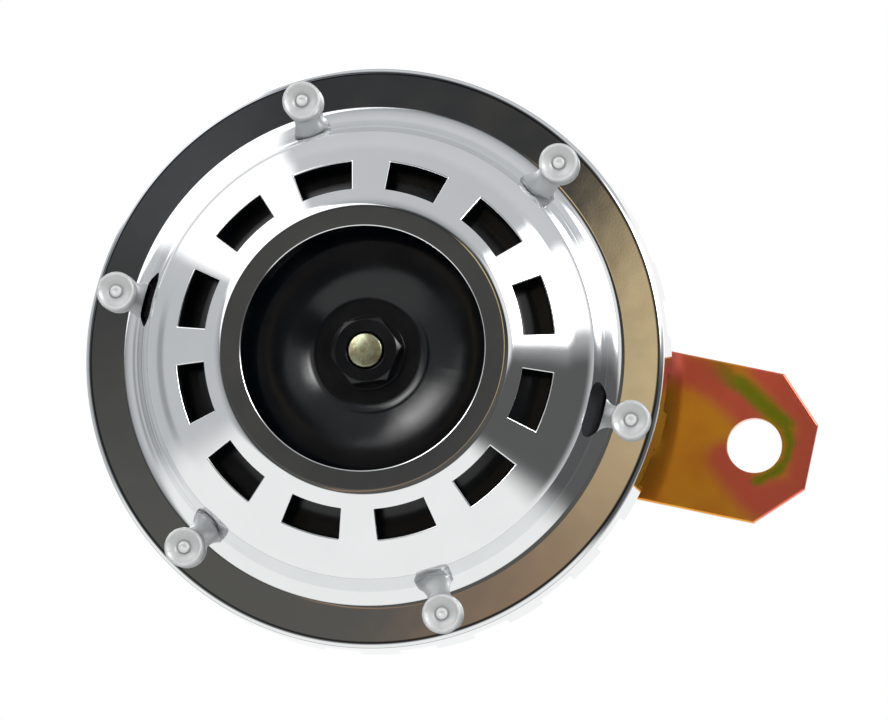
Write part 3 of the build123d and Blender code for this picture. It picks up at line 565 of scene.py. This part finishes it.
def plain_finish(name, light, dark, patch_size, roughness, metallic):
    """A finish that drifts between two tones, with its own grain."""
    material, tree, shader = new_material(name)
    place = object_place(tree)
    cloud = noise(tree, place, patch_size * MM, 4)
    put(shader.inputs["Base Color"], blend(tree, cloud, light, dark))
    shader.inputs["Metallic"].default_value = metallic
    put(shader.inputs["Roughness"], ramp_between(tree, cloud, 0.3, 0.7, roughness, roughness + 0.1))
    put(shader.inputs["Normal"], bump(tree, noise(tree, place, 0.3 * MM, 3), 0.004 * MM))
    return material


def make_materials():
    """One material for each slot of the record."""
    materials = {name: plain_finish(name, *finish) for name, finish in plain_finishes.items()}
    materials["chrome_plate"] = chrome_plate()
    materials["rivet_alloy"] = rivet_alloy()
    materials["gloss_black"] = gloss_black("gloss_black", 0.15, 0.22 * MM, 1.47, 0.0)
    materials["black_enamel"] = gloss_black("black_enamel", 0.28, 0.35 * MM, 1.75, 0.012)
    materials["yellow_zinc"] = yellow_zinc()
    materials["stud_zinc"] = zinc(
        "stud_zinc", (0.58, 0.62, 0.42), (0.26, 0.22, 0.13), 1.8 * MM, 0.22, 0.2 * MM, 2.6 * MM)
    materials["clear_zinc"] = zinc(
        "clear_zinc", (0.72, 0.75, 0.78), (0.58, 0.62, 0.68), 4 * MM, 0.26, 0.2 * MM)
    return materials


def paint_cad_nodes(materials):
    """Give each CAD node the material of its slot."""
    for part in frame["record"]["subparts"]:
        node = frame["nodes"][part["node"]]
        node.data.materials.clear()
        node.data.materials.append(materials[part["material_slot"]])


# ---------------------------------------------------------------- mesh helpers
def at(radius, angle, height):
    """A point from its radius and angle round the horn axis and its height along it."""
    turned = np.radians(angle)
    return np.stack(
        [axis_x + radius * np.cos(turned), seat_y - height, radius * np.sin(turned)], axis=-1)


def leaning(outward, forward, angle):
    """A direction from its outward and forward shares at an angle round the horn axis."""
    turned = np.radians(angle)
    return np.stack(
        [outward * np.cos(turned), -forward + 0 * turned, outward * np.sin(turned)], axis=-1)


def unit(vectors):
    """The same directions at length 1."""
    return vectors / np.maximum(np.linalg.norm(vectors, axis=-1, keepdims=True), 1e-12)


def make_piece(name, verts, faces, material, slot, body, *nodes, normals=None):
    """A smooth piece that rides on a body and stands for its CAD nodes."""
    mesh = bpy.data.meshes.new(name)
    mesh.from_pydata(verts, [], faces)
    mesh.materials.append(material)
    mesh.shade_smooth()
    if normals is not None:
        mesh.normals_split_custom_set(normals)
    piece = bpy.data.objects.new(name, mesh)
    bpy.context.scene.collection.objects.link(piece)
    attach(piece, body)
    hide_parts(*nodes)
    return piece


def rounded_path(corners, bends, arc_step):
    """Points along straight runs joined by arcs, and the direction of the path at each point."""
    points = [Vector(corners[0])]
    turned_to = []
    for before, corner, after, bend in zip(corners, corners[1:], corners[2:], bends):
        corner = Vector(corner)
        into = (corner - Vector(before)).normalized()
        out = (Vector(after) - corner).normalized()
        side = 1 if into.cross(out) > 0 else -1
        turning = abs(into.angle_signed(out))
        run = bend * math.tan(turning / 2)
        centre = corner - into * run + Vector((-into.y, into.x)) * side * bend
        first = corner - into * run - centre
        start = math.atan2(into.y, into.x)
        if not turned_to:
            turned_to.append(start)
        steps = max(2, math.ceil(math.degrees(turning) / arc_step))
        for step in range(steps + 1):
            share = side * turning * step / steps
            cosine, sine = math.cos(share), math.sin(share)
            points.append(centre + Vector((
                first.x * cosine - first.y * sine, first.x * sine + first.y * cosine)))
            turned_to.append(start + share)
    points.append(Vector(corners[-1]))
    turned_to.append(turned_to[-1])
    return np.array([point[:] for point in points]), np.array(turned_to)


def turned_apart(angle, middle):
    """Signed angle from a middle, from -180 to 180."""
    return np.mod(np.asarray(angle) - middle + 180, 360) - 180


# ---------------------------------------------------------------- front cover
cover_sheet = 0.8 * MM
mouth_radius = 19.4 * MM
mouth_ring_width = 3.9 * MM
mouth_ring_drop = 0.07 * MM
rim_depth = 12.7 * MM
cone_angle = 24.0
wall_angle = 68.0
rim_radius = 46.8 * MM
shoulder_inset = 11.5 * MM
cover_bends = [0.22 * MM, 4.0 * MM, 8.5 * MM, 3.5 * MM, 0.9 * MM]
mouth_edge_depth = 0.3 * MM
slot_count = 12
slot_twist = -4.6
slot_land = 2.1 * MM
slot_length = 5.1 * MM
slot_width_angle = 19.0
slot_lip = 0.22 * MM                 # the edge that the punch draws in round a slot
slot_lip_fall = 0.8                  # depth of a lip as a share of its width
slot_lip_steps = [0.0, 0.12, 0.4, 1.0]
slot_lip_least = 0.03                # keeps the normals at its very edge from lying flat
tab_count = 24
tab_length = 4.4 * MM
rivet_count = 6
rivet_twist = -2.4
rivet_edge_distance = 3.8 * MM
fold_shade_inset = 0.75 * MM               # a painted line of shade in the fold where the rim turns back
fold_shade_reach = (0.12 * MM, 0.36 * MM)  # distances from its middle over which it fades
pocket_radius = 3.1 * MM
pocket_rise = 2.4 * MM
pocket_setback = 0.27 * MM
pocket_depth = 0.65 * MM
window_length = 9.0 * MM
window_height = 4.4 * MM
window_floor = 0.8 * MM
arc_step = 4.5                       # angle between the rows round a bend
row_steps = (0.33 * MM, 2.2 * MM)    # on the wall, and elsewhere
column_steps = (0.5, 1.6)            # beside a rivet, and elsewhere
beside_rivet = 8.5                   # angle on each side of a rivet that counts as beside it
shoulder_margin = 1 * MM             # the wall's rows start this far inside the shoulder
foot_margin = 2.5 * MM               # and end this far outside the foot

rim_front = mouth_height - rim_depth
cone_start = mouth_radius + mouth_ring_width
shoulder_radius = rim_radius - shoulder_inset
cone_drop = (shoulder_radius - cone_start) * math.tan(math.radians(cone_angle))
foot_radius = shoulder_radius + (rim_depth - cone_drop) / math.tan(math.radians(wall_angle))
rivet_circle_radius = rim_radius - rivet_edge_distance
slot_inner_radius = cone_start + slot_land
slot_lip_angle = math.degrees(slot_lip / (slot_inner_radius + slot_length / 2))
slot_middles = [slot_twist + index * 360 / slot_count for index in range(slot_count)]
tab_pitch = 360 / tab_count
tab_gap_middles = [rivet_twist + tab_pitch / 2 + index * tab_pitch for index in range(tab_count)]
cover_corners = [
    (mouth_radius, mouth_height - mouth_ring_drop - mouth_edge_depth),
    (mouth_radius, mouth_height - mouth_ring_drop),
    (cone_start, mouth_height),
    (shoulder_radius, mouth_height - cone_drop),
    (foot_radius, rim_front),
    (rim_radius, rim_front),
    (skirt_end_radius, skirt_end),
]


def cover_rows(path, along):
    """Places of the rows along the front face, with a row on every edge of a cut-out."""
    slot_edges = np.interp(
        [slot_inner_radius, slot_inner_radius + slot_length], path[:, 0], along)
    marks = [*along, along[-1] - tab_length]
    for edge, lip in zip(slot_edges, (slot_lip, -slot_lip)):
        marks += [edge + lip * (1 - step) for step in slot_lip_steps]
    marks = np.unique(np.round(marks, 8))
    rows = [marks[0]]
    for start, end in zip(marks, marks[1:]):
        radius = np.interp((start + end) / 2, along, path[:, 0])
        near_wall = shoulder_radius - shoulder_margin < radius < foot_radius + foot_margin
        step = row_steps[0] if near_wall else row_steps[1]
        count = max(1, math.ceil((end - start) / step - 1e-6))
        rows += [start + (end - start) * share / count for share in range(1, count + 1)]
    return np.array(rows)


def cover_columns():
    """Angles of the columns, with one on each side of every slot and tab."""
    marks = []
    for middle in slot_middles:
        for step in slot_lip_steps:
            half_angle = slot_width_angle / 2 - slot_lip_angle * (1 - step)
            marks += [middle - half_angle, middle + half_angle]
    for middle in tab_gap_middles:
        marks += [middle - tab_pitch / 4, middle + tab_pitch / 4]
    marks = np.unique(np.round(np.mod(marks, 360), 5))
    columns = []
    for start, end in zip(marks, np.append(marks[1:], marks[0] + 360)):
        from_rivet = np.mod((start + end) / 2 - rivet_twist + 30, 360 / rivet_count) - 30
        step = column_steps[0] if abs(from_rivet) < beside_rivet else column_steps[1]
        count = max(1, math.ceil((end - start) / step - 1e-6))
        columns += [start + (end - start) * share / count for share in range(count)]
    return np.array(columns)


def stadium_pull(across, above):
    """Nearest point of a window's outline."""
    half = (window_length - window_height) / 2
    spine = min(max(across, -half), half)
    size = max(math.hypot(across - spine, above), 1e-9)
    return spine + (across - spine) / size * window_height / 2, above / size * window_height / 2


def window_pull(place, angle, windows, path, along):
    """Move the grid points beside a window's cells onto its outline."""
    window_middle = rim_front + window_floor + window_height / 2
    wall = path[:, 0] > shoulder_radius - 3 * MM
    count = windows.shape[1]
    for row in range(1, windows.shape[0]):
        for column in range(count):
            cells = [windows[r, c % count] for r in (row - 1, row) for c in (column - 1, column)]
            if not any(cells) or all(cells):
                continue
            middle = min((rivet_twist, rivet_twist + 180),
                         key=lambda m: abs(turned_apart(angle[row, column], m)))
            radius, height = (np.interp(place[row, column], along, path[:, k]) for k in (0, 1))
            across = radius * math.sin(math.radians(turned_apart(angle[row, column], middle)))
            across, above = stadium_pull(across, height - window_middle)
            place[row, column] = np.interp(-(window_middle + above), -path[wall, 1], along[wall])
            radius = np.interp(place[row, column], along, path[:, 0])
            angle[row, column] = middle + math.degrees(math.asin(across / radius))


def press_pockets(front, back, normal):
    """Press a soft dent into the wall beside the rivets, and turn the normals with it."""
    for index in range(rivet_count):
        if index % (rivet_count // 2) == 0:
            continue
        turned = rivet_twist + index * 360 / rivet_count
        centre = at(foot_radius - pocket_setback, turned, rim_front + pocket_rise)
        inward = leaning(-1.0, 0.0, turned)
        away = front - centre
        reach = away @ inward
        sideways = away - reach[..., None] * inward
        beside = np.sqrt((sideways ** 2).sum(-1))
        near = (beside < pocket_radius) & (abs(reach) < 2 * pocket_radius)
        share = (beside / pocket_radius) ** 2
        push = np.where(near, pocket_depth * (1 - share) ** 2, 0)
        steep = np.where(near, -4 * pocket_depth * (1 - share) / pocket_radius ** 2, 0)
        normal = unit(normal - sideways * (steep * (normal @ inward))[..., None])
        front += inward * push[..., None]
        back += inward * push[..., None]
    return normal


def slot_lips(radius, angle, slope, normal):
    """How far the sheet is drawn in round the slots, and its normals there."""
    fall = np.zeros(radius.shape)
    along_cone = (radius - slot_inner_radius - slot_length / 2) / math.cos(math.radians(cone_angle))
    half_length = slot_length / 2 / math.cos(math.radians(cone_angle))
    ends = np.maximum((abs(along_cone) - half_length) / slot_lip + 1, 0)
    outward = leaning(np.cos(slope), np.sin(slope), angle)
    round_about = leaning(1.0, 0.0, angle + 90)
    for middle in slot_middles:
        away = turned_apart(angle, middle)
        arc = np.radians(abs(away) - slot_width_angle / 2) * radius
        sides = np.maximum(arc / slot_lip + 1, 0)
        gap = np.hypot(ends, sides)
        rolled = gap < 1
        share = np.clip(1 - gap, 0, 1)
        steep = slot_lip_fall * share / np.sqrt(np.maximum(1 - share ** 2, slot_lip_least))
        towards = -unit(outward * (np.sign(along_cone) * np.maximum(ends, 1e-6))[..., None]
                        + round_about * (np.sign(away) * np.maximum(sides, 1e-6))[..., None])
        fall = np.where(rolled, slot_lip_fall * slot_lip * (1 - np.sqrt(1 - share ** 2)), fall)
        normal = np.where(rolled[..., None], unit(normal + towards * steep[..., None]), normal)
    return fall, normal


def cut_cells(path, along, rows, columns):
    """Cells that a slot, the gap between two tabs or a window takes away, and those of the windows."""
    row_middle = (rows[:-1] + rows[1:]) / 2
    column_middle = (columns + np.append(columns[1:], columns[0] + 360)) / 2
    middle_radius = np.interp(row_middle, along, path[:, 0])[:, None]
    middle_height = np.interp(row_middle, along, path[:, 1])[:, None]
    gone = np.zeros((len(row_middle), len(columns)), bool)
    lip_run = slot_lip * math.cos(math.radians(cone_angle))
    in_slot_ring = ((middle_radius > slot_inner_radius + lip_run)
                    & (middle_radius < slot_inner_radius + slot_length - lip_run))
    slot_half_angle = slot_width_angle / 2 - slot_lip_angle
    for middle in slot_middles:
        gone |= in_slot_ring & (abs(turned_apart(column_middle, middle)) < slot_half_angle)[None, :]
    between_tabs = row_middle[:, None] > along[-1] - tab_length
    for middle in tab_gap_middles:
        gone |= between_tabs & (abs(turned_apart(column_middle, middle)) < tab_pitch / 4)[None, :]

    on_wall = (middle_radius > shoulder_radius - shoulder_margin) & (middle_radius < rivet_circle_radius)
    windows = np.zeros_like(gone)
    half = (window_length - window_height) / 2
    for middle in (rivet_twist, rivet_twist + 180):
        away = np.radians(turned_apart(column_middle, middle))[None, :]
        across = np.sin(away) * middle_radius
        above = middle_height - rim_front - window_floor - window_height / 2
        inside = np.hypot(across - np.clip(across, -half, half), above) < window_height / 2
        windows |= inside & on_wall & (abs(away) < 1)
    return gone | windows, windows


def sheet_faces(front, back, normal, back_normal, gone):
    """Points, faces and normals of a sheet round the axis: its two sides, and its edge wherever it ends."""
    row_total, count = gone.shape
    verts = np.concatenate([front.reshape(-1, 3), back.reshape(-1, 3)])
    vert_normals = np.concatenate([normal.reshape(-1, 3), -back_normal.reshape(-1, 3)])
    back_start = len(front) * count
    faces, normals = [], []
    for row in range(row_total):
        for column in range(count):
            if gone[row, column]:
                continue
            corners = [(row, column), (row + 1, column), (row + 1, column + 1), (row, column + 1)]
            ring = [r * count + c % count for r, c in corners]
            for face in (ring, [back_start + index for index in ring[::-1]]):
                faces.append(face)
                normals.extend(vert_normals[face])
            beside = [(row, column - 1), (row + 1, column), (row, column + 1), (row - 1, column)]
            for side, (r, c) in enumerate(beside):
                if 0 <= r < row_total and not gone[r, c % count]:
                    continue
                first, second = ring[side], ring[(side + 1) % 4]
                face = [second, first, back_start + first, back_start + second]
                faces.append(face)
                flat = unit(np.cross(verts[face[1]] - verts[face[0]], verts[face[2]] - verts[face[1]]))
                normals.extend([flat] * 4)
    used = np.unique(np.concatenate([np.array(face) for face in faces]))
    renumber = np.full(len(verts), -1)
    renumber[used] = np.arange(len(used))
    return verts[used].tolist(), [renumber[face].tolist() for face in faces], normals


def make_front_cover(materials):
    """The plated cover: a sheet turned about the axis, cut, lipped and dented."""
    path, turned_to = rounded_path(cover_corners, cover_bends, arc_step)
    along = np.concatenate([[0], np.cumsum(np.linalg.norm(np.diff(path, axis=0), axis=1))])
    rows, columns = cover_rows(path, along), cover_columns()
    place = np.repeat(rows[:, None], len(columns), axis=1)
    angle = np.repeat(columns[None, :], len(rows), axis=0)
    gone, windows = cut_cells(path, along, rows, columns)
    window_pull(place, angle, windows, path, along)

    radius, height, slope = (
        np.interp(place, along, values) for values in (path[:, 0], path[:, 1], turned_to))
    back_normal = leaning(-np.sin(slope), np.cos(slope), angle)
    front = at(radius, angle, height)
    back = front - back_normal * cover_sheet
    fall, normal = slot_lips(radius, angle, slope, back_normal)
    front = front - back_normal * fall[..., None]
    back = back - back_normal * fall[..., None]
    normal = press_pockets(front, back, normal)
    verts, faces, normals = sheet_faces(front, back, normal, back_normal, gone)
    make_piece("front_cover_plated", verts, faces, materials["chrome_plate"], "chrome_plate",
               "horn_body", "front_cover", normals=normals)


# ---------------------------------------------------------------- rivets
rivet_segments = 48
rivet_head_radius = 3.2 * MM
rivet_shank_radius = 1.6 * MM
rivet_tail_radius = 2.1 * MM
rivet_tail_height = 1.4 * MM
rivet_tail_round = 0.9 * MM
rivet_tail_inner_ring = 0.6 * MM
# radius and height over the cover, from the edge of the head to its middle
rivet_head_outline = [
    (2.95, 0.0), (3.1, 0.1), (3.18, 0.35), (3.2, 0.8), (3.2, 1.55), (3.17, 1.82), (3.09, 2.03),
    (2.96, 2.15), (2.82, 2.19), (2.68, 2.16), (2.54, 2.07), (2.36, 1.97), (2.1, 1.88), (1.8, 1.81),
    (1.5, 1.74), (1.3, 1.66), (1.18, 1.58), (1.09, 1.56), (1.02, 1.64), (0.97, 1.8), (0.9, 1.92),
    (0.78, 1.98), (0.6, 2.0), (0.42, 1.99), (0.32, 1.93), (0.24, 1.87), (0.12, 1.85), (0.0, 1.85),
]


def make_cover_rivets(materials):
    """The six rivets, each one outline turned about its own axis."""
    tail_height = seat_y - rivets_high.y
    foot = tail_height + rivet_tail_height
    outline = [(0.0, tail_height), (rivet_tail_inner_ring, tail_height)]
    for step in range(7):
        turned = math.radians(15 * step)
        outline.append((rivet_tail_radius - rivet_tail_round * (1 - math.sin(turned)),
                        tail_height + rivet_tail_round * (1 - math.cos(turned))))
    outline += [(rivet_tail_radius, foot), (rivet_shank_radius, foot), (rivet_shank_radius, rim_front)]
    outline += [(radius * MM, rim_front + height * MM) for radius, height in rivet_head_outline]
    verts, faces = [], []
    for index in range(rivet_count):
        turned = math.radians(rivet_twist + index * 360 / rivet_count)
        centre_x = axis_x + rivet_circle_radius * math.cos(turned)
        centre_z = rivet_circle_radius * math.sin(turned)
        start = len(verts)
        for radius, height in outline[1:-1]:
            for segment in range(rivet_segments):
                around = 2 * math.pi * segment / rivet_segments
                verts.append((centre_x + radius * math.cos(around), seat_y - height,
                              centre_z + radius * math.sin(around)))
        rings = len(outline) - 2
        for ring in range(rings - 1):
            for segment in range(rivet_segments):
                beside = (segment + 1) % rivet_segments
                lower, upper = start + ring * rivet_segments, start + (ring + 1) * rivet_segments
                faces.append((lower + segment, upper + segment, upper + beside, lower + beside))
        for ring, height, way in ((0, outline[0][1], 1), (rings - 1, outline[-1][1], -1)):
            verts.append((centre_x, seat_y - height, centre_z))
            middle = len(verts) - 1
            for segment in range(rivet_segments):
                pair = [start + ring * rivet_segments + (segment + step) % rivet_segments for step in (0, 1)]
                faces.append((middle, *pair[::way]))
    piece = make_piece("cover_rivets_peened", verts, faces, materials["rivet_alloy"],
                       "rivet_alloy", "horn_body", "cover_rivets")
    piece.data.set_sharp_from_angle(angle=math.radians(60))


# ---------------------------------------------------------------- the object
materials = make_materials()
paint_cad_nodes(materials)
make_front_cover(materials)
make_cover_rivets(materials)
make_camera()
make_world()
make_floor()

bpy.context.scene.view_settings.view_transform = "Standard"
